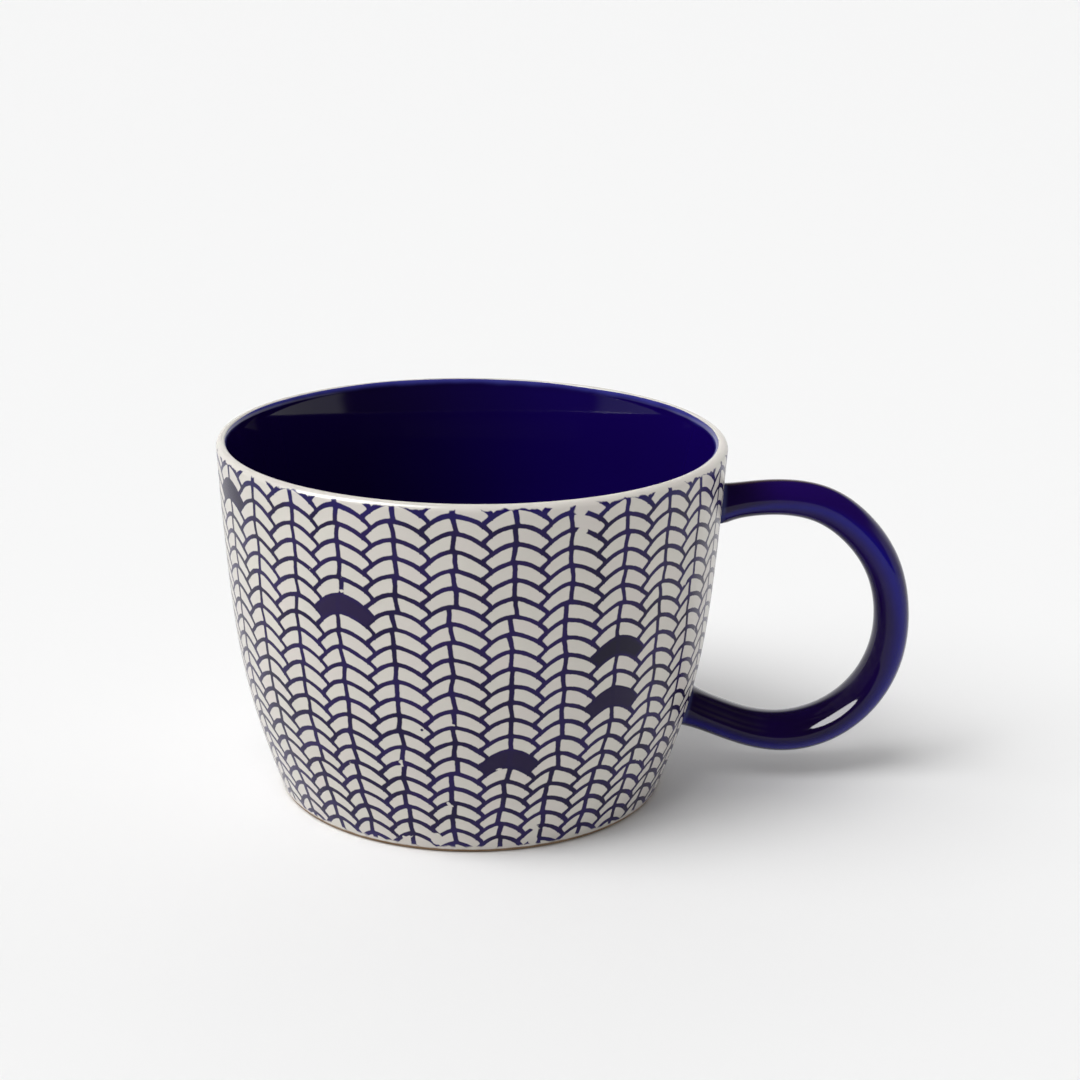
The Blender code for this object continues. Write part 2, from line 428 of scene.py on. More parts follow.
# %% Print recipe: lines and filled scales
ARM_FALL, ARM_BEND = 0.25, 2.50  # rows an arm falls in one column's width: straight and bent
LINE, SPINE_LINE = 0.90 * MM, 0.96 * MM
REPEAT_ROWS, FIRST_REPEAT, DRIFT = 10.0, 5.0, 0.09  # how often the artwork repeats, and its drift

# (column, row) of each scale that is filled in, counted from the join at the back and from the lip
FILLED = ((8, 0), (11, 5), (16, 7), (16, 10), (14, 13), (2, 11), (5, 16), (20, 4), (24, 9), (27, 14), (0, 3))

coat = Recipe("printed_white_glaze")
where = coat.place()
print_columns, print_rows, _ = coat.print_place()

low_noise = coat.sub(coat.noise(where, 150.0, 1.0), 0.5)
side_noise = coat.sub(coat.noise(coat.vector(print_columns, print_rows, 3.0), 1.1, 1.0), 0.5)
rows_down = coat.add(print_rows, coat.mul(low_noise, 0.20))
columns_round = coat.add(print_columns, coat.mul(side_noise, 0.05))

raw_column = coat.math("FLOOR", columns_round)
column = coat.math("FLOORED_MODULO", coat.add(raw_column, 0.5), float(COLUMNS))
column = coat.math("FLOOR", column)
t = coat.sub(coat.math("FRACT", columns_round), 0.5)
side = coat.math("SIGN", t)
neighbour = coat.math("FLOORED_MODULO", coat.add(coat.add(column, side), 0.5), float(COLUMNS))
neighbour = coat.math("FLOOR", neighbour)


def stagger(which):
    """How far down a column's rows start: every second column by half a row."""
    half = coat.mul(coat.math("FLOORED_MODULO", which, 2.0), -0.5)
    loose = coat.mul(coat.sub(coat.chance(which, 7.0), 0.5), 0.10)
    return coat.add(coat.add(half, 0.90), loose)


off_centre = coat.add(coat.mul(coat.sub(coat.chance(column, 3.0), 0.5), 0.10), -0.045)
from_spine = coat.sub(t, off_centre)
on_right = coat.math("GREATER_THAN", from_spine, 0.0)
half_width = coat.add(0.5, coat.mul(coat.sub(1.0, coat.mul(on_right, 2.0)), off_centre))
reach = coat.mul(coat.math("DIVIDE", coat.math("ABSOLUTE", from_spine), half_width), 0.5)


def arm_drop(away):
    """How many rows an arm has fallen at a distance from its spine, in columns."""
    return coat.add(coat.mul(away, ARM_FALL), coat.mul(coat.mul(away, away), ARM_BEND))


own_start, next_start = stagger(column), stagger(neighbour)
own_level = coat.sub(coat.sub(rows_down, own_start), arm_drop(reach))
next_level = coat.sub(coat.sub(rows_down, next_start), arm_drop(coat.sub(1.0, reach)))
own_below = coat.math("FRACT", own_level)
next_below = coat.math("FRACT", next_level)
meet_step = coat.math("FRACT", coat.sub(next_start, own_start))
meet_at = coat.sub(0.5, coat.math("DIVIDE", coat.sub(1.0, meet_step), 2 * (ARM_FALL + ARM_BEND)))
past_meeting = coat.math("GREATER_THAN", reach, meet_at)

# distances in metres, so that a line keeps its width where the column narrows
radius_here = coat.math(
    "SQRT",
    coat.add(
        coat.math("POWER", coat.sub(coat.split(where)[0], cup_x), 2.0),
        coat.math("POWER", coat.split(where)[1], 2.0),
    ),
)
column_width = coat.mul(radius_here, math.tau / COLUMNS)


def line_distance(below, away):
    """How far the point is from the nearest arm, measured square to it."""
    near = coat.sub(0.5, coat.math("ABSOLUTE", coat.sub(below, 0.5)))
    slope = coat.mul(coat.add(coat.mul(away, 2 * ARM_BEND), ARM_FALL), ROW)
    slope = coat.math("DIVIDE", slope, column_width)
    lean = coat.math("SQRT", coat.add(coat.mul(slope, slope), 1.0))
    return coat.math("DIVIDE", coat.mul(near, ROW), lean)


own_line = line_distance(own_below, reach)
next_line = line_distance(next_below, coat.sub(1.0, reach))
next_line = coat.add(next_line, coat.mul(coat.sub(1.0, past_meeting), 9 * MM))

spine_level = coat.sub(rows_down, own_start)
repeat = coat.math("FRACT", coat.math("DIVIDE", coat.sub(spine_level, FIRST_REPEAT), REPEAT_ROWS))
sway = coat.mul(coat.sub(repeat, 0.5), DRIFT)
jog_row = coat.math("FLOOR", own_level)
wobble = coat.ramp(print_rows, 11.0, 17.0, 0.05, 0.09)
jog = coat.mul(coat.sub(coat.chance(column, jog_row, 5.0), 0.5), wobble)
slant = coat.mul(coat.sub(own_below, 0.5), 0.12)
slant = coat.mul(coat.sub(coat.chance(column, jog_row, 6.0), 0.5), slant)
spine_line = coat.math("ABSOLUTE", coat.sub(from_spine, coat.add(sway, coat.add(jog, slant))))
spine_line = coat.add(coat.mul(spine_line, column_width), (LINE - SPINE_LINE) / 2)

nearest_arm = coat.math("SMOOTH_MIN", own_line, next_line, 0.60 * MM)
nearest = coat.math("SMOOTH_MIN", nearest_arm, spine_line, 0.50 * MM)
print("arms meet", round(1 / (2 * (ARM_FALL + ARM_BEND)), 3), "of a column apart")

# %% Print recipe: ink, its flaws and the filled scales
edge_noise = coat.sub(coat.noise(where, 1400.0, 2.0), 0.5)
width_noise = coat.sub(coat.noise(where, 260.0, 2.0), 0.5)
top_thick = coat.ramp(print_rows, 0.2, 1.0, 0.09 * MM, 0.0)
low_thick = coat.ramp(print_rows, 9.0, 18.0, 0.0, 0.06 * MM)
half_line = coat.add(LINE / 2, coat.add(coat.mul(width_noise, 0.22 * MM), coat.add(top_thick, low_thick)))
soft_edge = 0.09 * MM
from_edge = coat.add(coat.sub(nearest, half_line), coat.mul(edge_noise, 0.16 * MM))
lines = coat.ramp(from_edge, -soft_edge, soft_edge, 1.0, 0.0)

takes_next = coat.mul(past_meeting, coat.math("LESS_THAN", next_below, own_below))
keeps_own = coat.sub(1.0, takes_next)
cell_column = coat.add(coat.mul(column, keeps_own), coat.mul(neighbour, takes_next))
cell_level = coat.add(coat.mul(own_level, keeps_own), coat.mul(next_level, takes_next))
cell_row = coat.math("FLOOR", cell_level)
filled = None
for filled_column, filled_row in FILLED:
    same_column = coat.math("COMPARE", cell_column, float(filled_column), 0.1)
    same_row = coat.math("COMPARE", cell_row, float(filled_row), 0.1)
    here = coat.mul(same_column, same_row)
    filled = here if filled is None else coat.math("MAXIMUM", filled, here)

ragged = coat.sub(coat.noise(where, 420.0, 2.0), 0.5)
starts = coat.ramp(coat.add(print_rows, coat.mul(ragged, 0.5)), 0.04, 0.14)
stops = coat.ramp(coat.add(print_rows, coat.mul(ragged, 0.5)), 20.64, 20.80, 1.0, 0.0)
missed = coat.ramp(coat.noise(where, 210.0, 3.0), 0.715, 0.735, 1.0, 0.0)
printed = coat.mul(coat.mul(starts, stops), missed)


def distance_to(direction_deg, down, wall_radius):
    """How far the point is, along the wall, from a spot in a direction and below the lip."""
    spot_column = (direction_deg - FIRST_SPINE_DEG) / 360 * COLUMNS + COLUMNS / 2
    across = coat.mul(coat.sub(print_columns, spot_column), math.tau * wall_radius / COLUMNS)
    lower = coat.mul(coat.sub(print_rows, down / ROW), ROW)
    return coat.math("SQRT", coat.add(coat.mul(across, across), coat.mul(lower, lower)))


# (direction in degrees, mm below the lip, size in mm) of each spot that lost its ink
FLAWS = (
    (22.4, 1.2, 1.5),
    (22.8, 5.4, 1.1),
    (-9.4, 72.5, 1.6),
    (19.0, 73.6, 1.3),
    (171.0, 24.0, 1.4),
    (-128.0, 5.0, 1.6),
)
for flaw_deg, down_mm, size_mm in FLAWS:
    away = coat.add(distance_to(flaw_deg, down_mm * MM, rim_radius), coat.mul(ragged, 1.6 * MM))
    hole = coat.ramp(away, (size_mm - 0.25) * MM, size_mm * MM)
    printed = coat.mul(printed, hole)

STRAY_DEG, STRAY_DOWN, STRAY_RADIUS = -11.2, 45.6 * MM, 48 * MM  # one dot of ink that fell off a line
stray_away = distance_to(STRAY_DEG, STRAY_DOWN, STRAY_RADIUS)
stray_dot = coat.ramp(stray_away, 0.20 * MM, 0.38 * MM, 1.0, 0.0)

line_ink = coat.math("MAXIMUM", coat.mul(lines, printed), stray_dot)
ink = coat.math("MAXIMUM", line_ink, coat.mul(filled, starts))
print(len(FILLED), "scales are filled in;", len(FLAWS), "spots lost their ink")

# %% [markdown]
# ### The white coat
#
# The white is a warm, slightly greenish stoneware white, and each scale takes its own faint
# tint where the transfer film lay over it. Ink that pooled at the top edge fired a brighter blue;
# the thin lines near the foot stayed paler. The coat breaks to brown at its lower edge, where it
# was wiped from the foot, and picks up a little cobalt beside the handle's joints.

# %% Coat colours
cell_tint = coat.chance(cell_column, cell_row, coat.mul(on_right, 3.0))
white = coat.blend(cell_tint, (0.682, 0.658, 0.600), (0.688, 0.642, 0.604))
cloud = coat.noise(where, 60.0, 2.0)
white = coat.blend(coat.ramp(cloud, 0.3, 0.7, 0.0, 0.35), white, (0.638, 0.616, 0.558))

pooled = coat.ramp(print_rows, 0.5, 1.1, 1.0, 0.0)
ink_cloud = coat.noise(where, 130.0, 2.0)
ink_colour = coat.blend(coat.ramp(ink_cloud, 0.35, 0.65), (0.0085, 0.0030, 0.042), (0.0160, 0.0060, 0.078))
ink_colour = coat.blend(coat.mul(pooled, 0.5), ink_colour, (0.008, 0.004, 0.120))
ink_colour = coat.blend(coat.ramp(print_rows, 20.0, 20.8, 0.0, 0.4), ink_colour, (0.040, 0.035, 0.180))
fill_shade = coat.chance(cell_column, cell_row, 11.0)
fill_colour = coat.blend(fill_shade, (0.010, 0.007, 0.026), (0.019, 0.008, 0.058))
ink_colour = coat.blend(coat.mul(filled, coat.sub(1.0, coat.mul(lines, 0.3))), ink_colour, fill_colour)
coat_colour = coat.blend(ink, white, ink_colour)

height_here = coat.split(where)[2]
foot_break = coat.ramp(coat.add(height_here, coat.mul(ragged, 0.5 * MM)), 0.60 * MM, 0.95 * MM, 0.9, 0.0)
coat_colour = coat.blend(foot_break, coat_colour, (0.26, 0.155, 0.08))
print("the coat's recipe has", len(coat.tree.nodes), "steps so far")

# %% Cobalt beside the handle's joints
JOINTS = ((60.5 * MM, 5.2 * MM), (15.6 * MM, 6.2 * MM))  # (height, size) of each joint
HALO_WIDTH = 2.6 * MM
halo = None
for joint_height, joint_size in JOINTS:
    joint_radius = float(outer_radius(joint_height))
    gap = coat.node("ShaderNodeVectorMath", operation="DISTANCE")
    coat.put(gap.inputs[0], where)
    gap.inputs[1].default_value = (cup_x + joint_radius, 0.0, joint_height)
    spread = coat.add(gap.outputs["Value"], coat.mul(ragged, 1.5 * MM))
    ring = coat.ramp(spread, joint_size, joint_size + HALO_WIDTH, 0.6, 0.0)
    halo = ring if halo is None else coat.math("MAXIMUM", halo, ring)
coat_colour = coat.blend(halo, coat_colour, (0.36, 0.38, 0.58))
coat.finish_with(Base_Color=coat_colour, Roughness=0.26)
coat.shader.inputs["IOR"].default_value = 1.50
coat.shader.inputs["Specular IOR Level"].default_value = 0.18
coat.bump(coat.add(coat.noise(where, 45.0, 2.0), coat.mul(ink, 0.02)), 0.12 * MM)

# %% [markdown]
# ## The white coat's body
#
# The coat is half a millimetre of glass on the clay. It starts just above the wiped foot with a
# rounded edge, climbs the wall, rolls over the lip and ends where the cobalt was poured up to
# it. The two colours meet on the inner shoulder of the lip, along a line that wanders.

# %% Coat body
colour_line = [(1, 7.0, 0.4), (2, 5.0, 2.2), (5, 2.6, 0.7), (9, 2.0, 4.0), (17, 1.3, 1.0)]


def colour_change_deg(angle):
    """Where on the lip white meets cobalt, in degrees over the lip; the back wanders most."""
    at_back = 0.5 - 0.5 * math.cos(angle)
    at_left = max(0.0, -math.sin(angle))
    return 112.0 + 26.0 * at_left**2 + (0.35 + 0.9 * at_back) * wander(angle, colour_line)


def coat_line(angle):
    """Up the outside and over the lip, then back down against the clay."""
    start = bare_height + 0.06 * MM * math.sin(3 * angle + 0.5) + 0.04 * MM * math.sin(11 * angle)
    rounded = start + np.array([0.22, 0.5, 1.0]) * MM
    heights = np.concatenate([rounded, np.linspace(3.2 * MM, lip_centre[1], 44)])
    skin = np.stack([outer_radius(heights), heights], axis=1)
    lip = lip_points(0, colour_change_deg(angle), 14)
    under = inward(skin, glaze_depth)
    edge = np.array([(outer_radius(start) - 0.12 * MM, start)])
    lip_back = lip_points(0, colour_change_deg(angle), 14, lip_round - glaze_depth)
    return np.concatenate([edge, skin[:-1], lip, lip_back[::-1], under[-2::-4], edge - [(0.3 * MM, 0.0)]])


printed_coat = turned("printed_coat", coat_line, coat.material, closed=True, prints=print_uv)

# %% [markdown]
# ## The cobalt liner
#
# Inside, a pour of cobalt glaze turns almost black where it is thick and shows bright blue where
# it thins out over the shoulder of the lip; its colour also carries painted shade on the left of
# the inside and painted light on the right. Its surface is a smooth glass, so the room is seen
# in it along the flare under the rim.

# %% Liner recipe and body
liner = Recipe("cobalt_liner_glaze")
where = liner.place()
liner_cloud = liner.noise(where, 40.0, 2.0)
# painted shade and light: the inside is coloured darker on the left and brighter blue on the right
painted_shade_to_light = liner.ramp(liner.split(where)[0], cup_x - 30 * MM, cup_x + 25 * MM)
painted_shade_left = liner.blend(liner_cloud, (0.0060, 0.0010, 0.034), (0.0070, 0.0012, 0.046))
painted_light_right = liner.blend(liner_cloud, (0.0066, 0.0007, 0.080), (0.0076, 0.0010, 0.104))
deep = liner.blend(painted_shade_to_light, painted_shade_left, painted_light_right)
below_lip = liner.node("ShaderNodeAttribute", attribute_name="below_lip").outputs["Fac"]
uneven = liner.mul(liner.sub(liner.noise(where, 120.0, 2.0), 0.5), 1.2 * MM)
lip_thin = liner.ramp(liner.add(below_lip, uneven), 0.1 * MM, 1.5 * MM, 1.0, 0.0)
liner_colour = liner.blend(lip_thin, deep, (0.040, 0.040, 0.240))
liner.finish_with(Base_Color=liner_colour, Roughness=0.05)
liner.shader.inputs["IOR"].default_value = 1.52
liner.shader.inputs["Specular IOR Level"].default_value = 0.30
liner.bump(liner.noise(where, 35.0, 1.5), 0.10 * MM)


def liner_line(angle):
    """From the shoulder of the lip down the inside to the middle of the floor, and back under it."""
    lip = lip_points(colour_change_deg(angle), 180, 10)
    back = lip_points(colour_change_deg(angle), 180, 10, lip_round - glaze_depth)
    under = inward(inner_line, glaze_depth)[1::3]
    return np.concatenate([under[::-1], back[::-1], lip, inner_line[1:]])


cobalt_liner = turned("cobalt_liner", liner_line, liner.material)

# %% [markdown]
# ## The handle
#
# The handle was pulled or pressed as a strap of oval section, bent to a loop and stuck on with
# slip, which leaves a small fillet at each end. It was dipped in the same cobalt. On convex
# ridges the glaze ran thin, and there the clay shows through as a brown line. Its colour also
# carries a bright blue band that is partly thin glaze and partly painted light from below, and
# near the lower joint a few grey-brown streaks that are a painted reflection of the cup's wall.

# %% The handle's path
# (distance from the cup's axis, height, thickness in the plane, width across it), in mm
handle_stations = np.array(
    [
        (52.3, 60.6, 7.2, 8.8),
        (54.8, 61.2, 7.2, 8.6),
        (58.5, 61.8, 7.3, 8.4),
        (65.5, 62.1, 7.5, 8.4),
        (73.5, 60.5, 7.8, 8.6),
        (81.0, 55.4, 7.8, 9.0),
        (86.7, 47.6, 7.6, 9.4),
        (89.4, 37.6, 7.4, 9.8),
        (88.7, 27.4, 7.7, 10.4),
        (84.4, 18.5, 8.1, 11.2),
        (77.0, 12.2, 8.4, 12.0),
        (68.0, 9.6, 8.3, 12.2),
        (59.5, 10.5, 7.8, 11.6),
        (52.6, 12.9, 7.6, 11.2),
        (48.6, 14.5, 7.6, 11.0),
        (45.6, 15.8, 7.6, 11.0),
    ]
)
HANDLE_SIDES, HANDLE_RINGS = 48, 170


def smooth_through(values, shares):
    """A natural cubic spline through rows of values, read at shares of its length."""
    steps = np.diff(values[:, :2], axis=0)
    at = np.concatenate([[0.0], np.cumsum(np.hypot(steps[:, 0], steps[:, 1]))])
    gaps = np.diff(at)
    slopes = np.diff(values, axis=0) / gaps[:, None]
    size = len(values)
    system, wanted = np.eye(size), np.zeros_like(values)
    for i in range(1, size - 1):
        system[i, i - 1 : i + 2] = gaps[i - 1], 2 * (gaps[i - 1] + gaps[i]), gaps[i]
        wanted[i] = 6 * (slopes[i] - slopes[i - 1])
    bend = np.linalg.solve(system, wanted)
    found = shares * at[-1]
    piece = np.clip(np.searchsorted(at, found, side="right") - 1, 0, size - 2)
    h = gaps[piece][:, None]
    left, right = (at[piece + 1] - found)[:, None], (found - at[piece])[:, None]
    curved = (bend[piece] * left**3 + bend[piece + 1] * right**3) / (6 * h)
    low_part = (values[piece] / h - bend[piece] * h / 6) * left
    high_part = (values[piece + 1] / h - bend[piece + 1] * h / 6) * right
    return curved + low_part + high_part


# rings stand closer together at both ends, where the slip makes a small hollow fillet
even = np.linspace(0.0, 1.0, HANDLE_RINGS)
shares = even - 0.12 * np.sin(math.tau * even)
stations = smooth_through(handle_stations * MM, shares)
handle_length = float(np.hypot(*np.diff(stations[:, :2], axis=0).T).sum())
print("handle is", round(handle_length / MM, 1), "mm long along its middle")

# %% Handle body
ahead = np.gradient(stations[:, :2], axis=0)
ahead /= np.linalg.norm(ahead, axis=1)[:, None]
turns = np.linspace(0.0, math.tau, HANDLE_SIDES, endpoint=False)
SLIP, SLIP_REACH = 0.8 * MM, 2.2 * MM


def ring_at(station, way, slip):
    """One section of the handle; slip is the extra clay round it, a value for each point."""
    reach_out, up, thick, wide = station
    in_plane = (0.5 * thick + slip) * np.cos(turns)
    sideways = (0.5 * wide + slip) * np.sin(turns)
    return np.stack([reach_out - way[1] * in_plane, sideways, up + way[0] * in_plane], axis=1)


def off_wall(ring):
    """How far each point of a ring stands off the outside of the cup."""
    return np.hypot(ring[:, 0], ring[:, 1]) - outer_radius(ring[:, 2])


rings = []
for station, way in zip(stations, ahead):
    gap = np.maximum(off_wall(ring_at(station, way, 0.0)), 0.0)
    rings.append(ring_at(station, way, SLIP * np.exp(-gap / SLIP_REACH)))
for end in (0, -1):
    rings[end] = ring_at(stations[end], ahead[end], SLIP)
    y, z = rings[end][:, 1], rings[end][:, 2]
    rings[end][:, 0] = np.sqrt((outer_radius(z) - 0.2 * MM) ** 2 - y**2)
rings = np.array(rings)

points = (rings + np.array([cup_x, 0.0, 0.0])).reshape(-1, 3).tolist()
faces = []
for r in range(HANDLE_RINGS - 1):
    this_ring, next_ring = r * HANDLE_SIDES, (r + 1) * HANDLE_SIDES
    for i in range(HANDLE_SIDES):
        j = (i + 1) % HANDLE_SIDES
        faces.append((this_ring + i, this_ring + j, next_ring + j, next_ring + i))
faces.append(tuple(range(HANDLE_SIDES))[::-1])
faces.append(tuple((HANDLE_RINGS - 1) * HANDLE_SIDES + i for i in range(HANDLE_SIDES)))
mesh = bpy.data.meshes.new("cobalt_handle")
mesh.from_pydata(points, [], faces)
mesh.validate()
mesh.shade_smooth()
print("slip stands", SLIP / MM, "mm out round each joint")

# %% Where the handle's glaze is thin, with painted light from below
# where the dipped glaze drained thin, partly painted light from the floor and the right on that side:
# (place along, middle of the band, half its width), in degrees round the section from the outer side,
# counted so that 90 faces the front
thin_lit_band = np.array(
    [
        (0.0, 112.0, 9.0),
        (0.12, 104.0, 12.0),
        (0.25, 91.0, 17.0),
        (0.5, 60.0, 32.0),
        (0.72, 62.0, 18.0),
        (1.0, 68.0, 14.0),
    ]
)
places = shares[:, None]
band_middle = np.interp(places, thin_lit_band[:, 0], thin_lit_band[:, 1])
band_half = np.interp(places, thin_lit_band[:, 0], thin_lit_band[:, 2])
from_front = np.degrees(math.tau - turns)[None, :]
thin_lit_share = np.exp(-(((from_front - band_middle) / band_half) ** 2))

# painted reflection: grey-brown streaks near the lower joint that stand for the cup's wall mirrored in the
# glaze
REFLECTED_STREAKS_DEG, REFLECTED_STREAK_HALF_DEG = (112.0, 130.0, 150.0), 5.0
painted_reflection_streaks = sum(np.exp(-(((from_front - at) / REFLECTED_STREAK_HALF_DEG) ** 2)) for at in REFLECTED_STREAKS_DEG)
painted_reflection_streaks = painted_reflection_streaks * np.interp(places, [0.83, 0.90, 0.985, 1.0], [0.0, 1.0, 1.0, 0.2])
for name, values in (
    ("thin_glaze_and_painted_light", thin_lit_share),
    ("ridge", np.tile(np.cos(turns), (HANDLE_RINGS, 1))),
    ("painted_reflection_streaks", painted_reflection_streaks),
    ("off_wall", np.array([off_wall(ring) for ring in rings])),
    ("along", np.tile(places, (1, HANDLE_SIDES))),
):
    layer = mesh.attributes.new(name, "FLOAT", "POINT")
    layer.data.foreach_set("value", values.astype(np.float32).reshape(-1))
print("the thin, lit band covers", round(float((thin_lit_share > 0.5).mean()) * 100), "% of the handle")

# %% Handle recipe
grip = Recipe("cobalt_handle_glaze")
where = grip.place()
grip_cloud = grip.noise(where, 70.0, 2.0)
grip_colour = grip.blend(grip.ramp(grip_cloud, 0.3, 0.7), (0.0072, 0.0018, 0.030), (0.0092, 0.0022, 0.048))


def stored(name):
    """A value kept on the handle's points."""
    return grip.node("ShaderNodeAttribute", attribute_name=name).outputs["Fac"]


along = stored("along")
topmost = grip.mul(grip.ramp(along, 0.03, 0.12), grip.ramp(along, 0.28, 0.52, 1.0, 0.0))
grip_colour = grip.blend(topmost, grip_colour, (0.0120, 0.0024, 0.080))
patchy = grip.mul(grip.sub(grip_cloud, 0.5), 0.5)
# the bright blue band is partly thin glaze and partly painted light from the floor below and the right
thin_lit_mix = grip.math("ADD", stored("thin_glaze_and_painted_light"), grip.mul(patchy, stored("thin_glaze_and_painted_light")), clamp=True)
grip_colour = grip.blend(thin_lit_mix, grip_colour, (0.0080, 0.0050, 0.175))
thin_edge = grip.ramp(grip.add(stored("ridge"), grip.mul(patchy, 0.06)), 0.955, 0.995)
grip_colour = grip.blend(grip.mul(thin_edge, 0.85), grip_colour, (0.060, 0.032, 0.036))
# painted reflection of the cup's wall, as grey-brown streaks near the lower joint
painted_reflection = grip.mul(stored("painted_reflection_streaks"), grip.ramp(grip_cloud, 0.35, 0.6, 0.3, 0.8))
grip_colour = grip.blend(painted_reflection, grip_colour, (0.040, 0.034, 0.044))
joint_thin = grip.ramp(stored("off_wall"), 0.1 * MM, 1.3 * MM, 1.0, 0.0)
grip_colour = grip.blend(grip.mul(joint_thin, 0.6), grip_colour, (0.08, 0.09, 0.24))
grip.finish_with(Base_Color=grip_colour, Roughness=0.06)
grip.shader.inputs["IOR"].default_value = 1.52
grip.shader.inputs["Specular IOR Level"].default_value = 0.23
grip.bump(grip.noise(where, 60.0, 2.0), 0.10 * MM)
cobalt_handle = link_object("cobalt_handle", mesh, grip.material)
print("cobalt_handle", len(mesh.vertices), "points,", len(mesh.polygons), "faces")

# %% [markdown]
# ## Fixing the pieces to the frame
#
# The mug is one rigid body, so every piece rides on the root body and stands for the CAD solids
# it was made over.

# %% Fix the pieces
for piece, nodes, slot in (
    (clay_cup, ("cup_body",), "fired_clay"),
    (printed_coat, ("outer_glaze",), "printed_white_glaze"),
    (cobalt_liner, ("inner_glaze",), "cobalt_liner_glaze"),
    (cobalt_handle, ("handle", "handle_root_upper", "handle_root_lower"), "cobalt_handle_glaze"),
):
    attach(piece, "root")
    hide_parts(*nodes)
    print(piece.name, "stands for", ", ".join(nodes))

# %% [markdown]
# ## The studio
#
# The mug stands on a seamless white table in a bright room. Two broad lights, high up and on the
# left a little towards the viewer, throw a soft shadow to the right; a wide weak one overhead and
# two low ones behind fill it. None of these is mirrored in the glaze. What the glaze mirrors is
# the room, which is white behind and at the far sides and dark towards the viewer and overhead,
# and one oval box for the coat and one for the handle. So the middle of each glossy form stays
# deep, and the handle shows one leaf of light.

# %% Floor
bpy.ops.mesh.primitive_plane_add(size=60.0, location=(0.0, 0.0, -0.02 * MM))
floor = bpy.context.object
floor.name = "floor"
table = Recipe("white_table")
table.finish_with(Base_Color=(0.86, 0.86, 0.86, 1.0), Roughness=0.75)
table.shader.inputs["Specular IOR Level"].default_value = 0.2
floor.data.materials.append(table.material)

# a far pale wall that only the camera sees, so that a low view ends in the table's own tone
bpy.ops.mesh.primitive_cylinder_add(
    vertices=96, radius=8.0, depth=4.0, end_fill_type="NOTHING", location=(0.0, 0.0, 2.0)
)
backdrop = bpy.context.object
backdrop.name = "backdrop"
backdrop.visible_diffuse = backdrop.visible_glossy = backdrop.visible_shadow = False
wall = Recipe("backdrop_white")
wall.finish_with(Base_Color=(0.0, 0.0, 0.0, 1.0), Roughness=1.0)
wall.shader.inputs["Specular IOR Level"].default_value = 0.0
wall.shader.inputs["Emission Color"].default_value = (1.0, 1.0, 1.0, 1.0)
wall.shader.inputs["Emission Strength"].default_value = 0.91
wall.material.cycles.emission_sampling = "NONE"
backdrop.data.materials.append(wall.material)
print("floor and backdrop stand ready")

# %% Light
KEY_AROUND, KEY_UP, KEY_SPREAD, KEY_POWER = -46.0, 65.0, 36.0, 1.34
SOFT_AROUND, SOFT_UP, SOFT_SPREAD, SOFT_POWER = -72.0, 46.0, 38.0, 1.13
FILL_SPREAD, FILL_POWER = 170.0, 0.82
BACK_UP, BACK_SPREAD = 12.0, 80.0
BACK_LEFT_POWER, BACK_RIGHT_POWER = 0.60, 0.48


def far_way(around_deg, up_deg):
    """The way to a far light; around_deg is its side, 0 the viewer's and 90 the handle's."""
    side_way, up_way = math.radians(around_deg), math.radians(up_deg)
    return Vector(
        (math.sin(side_way) * math.cos(up_way), -math.cos(side_way) * math.cos(up_way), math.sin(up_way))
    )


def light_from(name, around_deg, up_deg, spread_deg, power):
    """A far soft light that shades the mug but isn't mirrored in its glaze."""
    made = bpy.data.lights.new(name, "SUN")
    made.energy = power
    made.angle = math.radians(spread_deg)
    lamp = bpy.data.objects.new(name, made)
    lamp.visible_glossy = False
    way = far_way(around_deg, up_deg)
    lamp.rotation_euler = way.to_track_quat("Z", "Y").to_euler()
    bpy.context.scene.collection.objects.link(lamp)
    print(name, "light comes from", [round(v, 2) for v in way])
    return lamp


light_from("key", KEY_AROUND, KEY_UP, KEY_SPREAD, KEY_POWER)
light_from("soft", SOFT_AROUND, SOFT_UP, SOFT_SPREAD, SOFT_POWER)
light_from("fill", KEY_AROUND, 89.0, FILL_SPREAD, FILL_POWER)
light_from("back_left", -150.0, BACK_UP, BACK_SPREAD, BACK_LEFT_POWER)
light_from("back_right", 150.0, BACK_UP, BACK_SPREAD, BACK_RIGHT_POWER)

# %% Boxes that are mirrored
BOX_AWAY = 2.0


def mirrored_box(name, around_deg, up_deg, along, across, power, receiver):
    """An oval soft lamp that one piece alone mirrors; along is its slanting size, in metres."""
    way = far_way(around_deg, up_deg)
    slant = (far_way(-70.0, 34.0) - far_way(-45.0, 65.0)).normalized()
    slant = (slant - slant.dot(way) * way).normalized()
    made = bpy.data.lights.new(name, "AREA")
    made.shape = "ELLIPSE"
    made.size, made.size_y, made.energy = along, across, power
    lamp = bpy.data.objects.new(name, made)
    lamp.visible_diffuse = False
    axes = Matrix((slant, way.cross(slant), way)).transposed().to_4x4()
    lamp.matrix_world = Matrix.Translation(way * BOX_AWAY) @ axes
    bpy.context.scene.collection.objects.link(lamp)
    mirrors = bpy.data.collections.new(name + "_mirror")
    mirrors.objects.link(receiver)
    lamp.light_linking.receiver_collection = mirrors
    print(name, "is mirrored in", receiver.name)


mirrored_box("coat_box", -66.0, 43.0, 2.35, 0.80, 320.0, printed_coat)
mirrored_box("handle_box", -27.0, 36.5, 1.05, 1.45, 92.0, cobalt_handle)

# %% The room
LEFT_LIGHT, BACK_LIGHT, RIGHT_LIGHT, FRONT_LIGHT, TOP_LIGHT = 0.40, 1.00, 0.80, 0.035, 0.03

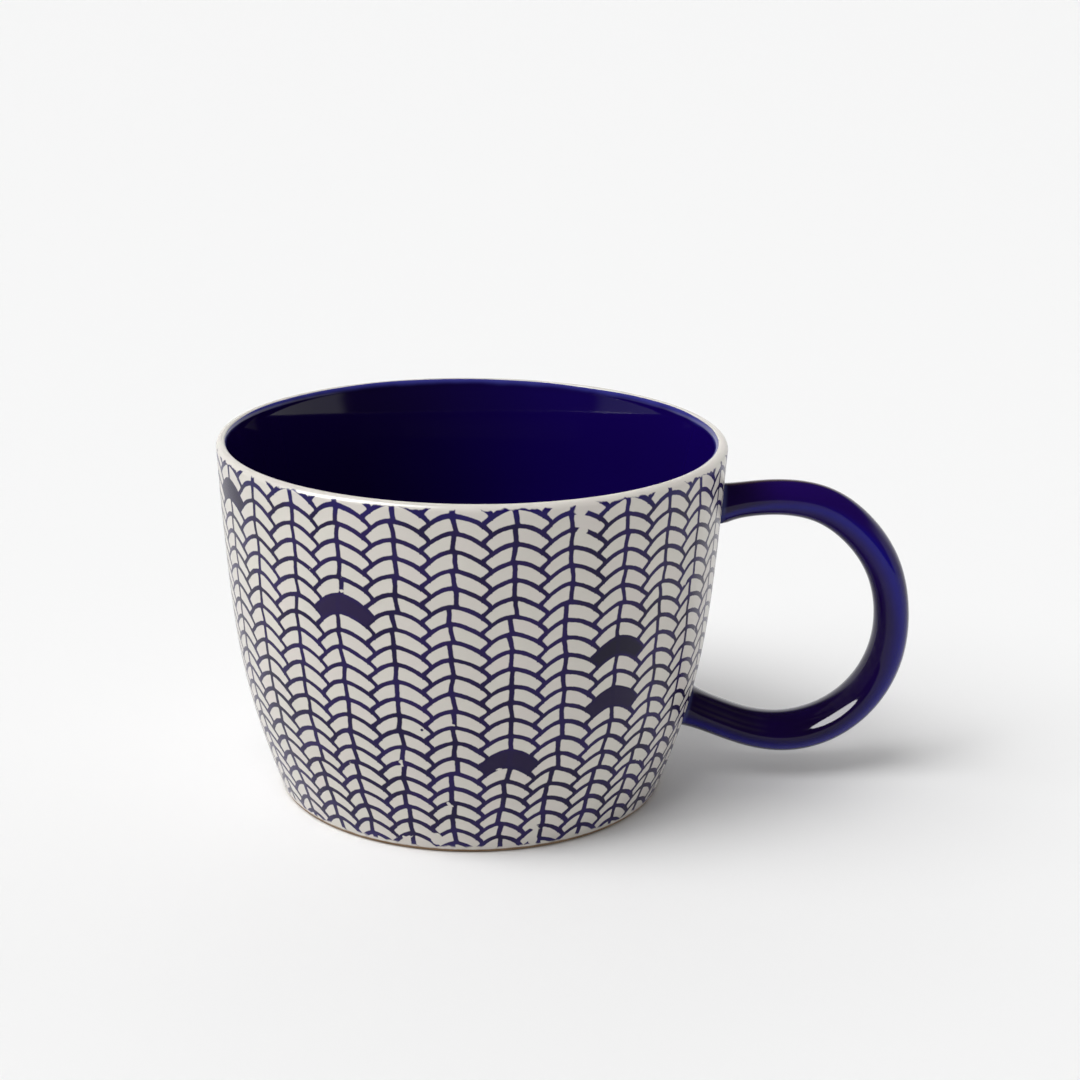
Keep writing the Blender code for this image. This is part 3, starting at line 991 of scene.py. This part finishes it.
world = bpy.data.worlds.new("studio")
bpy.context.scene.world = world
world.use_nodes = True
nodes, links = world.node_tree.nodes, world.node_tree.links
direction = nodes.new("ShaderNodeTexCoord").outputs["Generated"]
parts = nodes.new("ShaderNodeSeparateXYZ")
links.new(direction, parts.inputs[0])
to_right, to_back, upward = parts.outputs


def sky_step(value, start, end, low_value, high_value):
    """A soft step from one brightness to another across part of the room."""
    made = nodes.new("ShaderNodeMapRange")
    made.interpolation_type = "SMOOTHSTEP"
    links.new(value, made.inputs["Value"])
    ends = ("From Min", "From Max", "To Min", "To Max")
    for socket_name, given in zip(ends, (start, end, low_value, high_value)):
        socket = made.inputs[socket_name]
        if isinstance(given, bpy.types.NodeSocket):
            links.new(given, socket)
        else:
            socket.default_value = given
    return made.outputs["Result"]


middle = sky_step(to_back, -0.50, 0.0, FRONT_LIGHT, BACK_LIGHT)
back_and_right = sky_step(to_right, 0.90, 0.95, middle, RIGHT_LIGHT)
walls = sky_step(to_right, -0.95, -0.88, LEFT_LIGHT, back_and_right)
sky = sky_step(upward, 0.25, 0.50, walls, TOP_LIGHT)
links.new(sky, nodes["Background"].inputs["Strength"])
nodes["Background"].inputs["Color"].default_value = (1.0, 1.0, 1.0, 1.0)
print("the room's brightness: back", BACK_LIGHT, "right", RIGHT_LIGHT, "left", LEFT_LIGHT)

# %% Camera
CAMERA_ROLL_DEG = 0.934
camera_data = bpy.data.cameras.new("camera")
camera_data.lens = 66.667
camera_data.sensor_width = 36.0
camera_data.dof.use_dof = False
camera = bpy.data.objects.new("camera", camera_data)
stand = Vector((cup_x, -0.40124, 0.17672))
look_at = Vector((cup_x + 0.014146, 0.0, 0.052387))
camera.location = stand
camera.rotation_mode = "QUATERNION"
aim = (look_at - stand).to_track_quat("-Z", "Y")
camera.rotation_quaternion = aim @ Matrix.Rotation(math.radians(CAMERA_ROLL_DEG), 3, "Z").to_quaternion()
bpy.context.scene.collection.objects.link(camera)
bpy.context.scene.camera = camera
bpy.context.scene.view_settings.view_transform = "Standard"
print("the camera stands", round((stand - look_at).length, 3), "m from the mug")
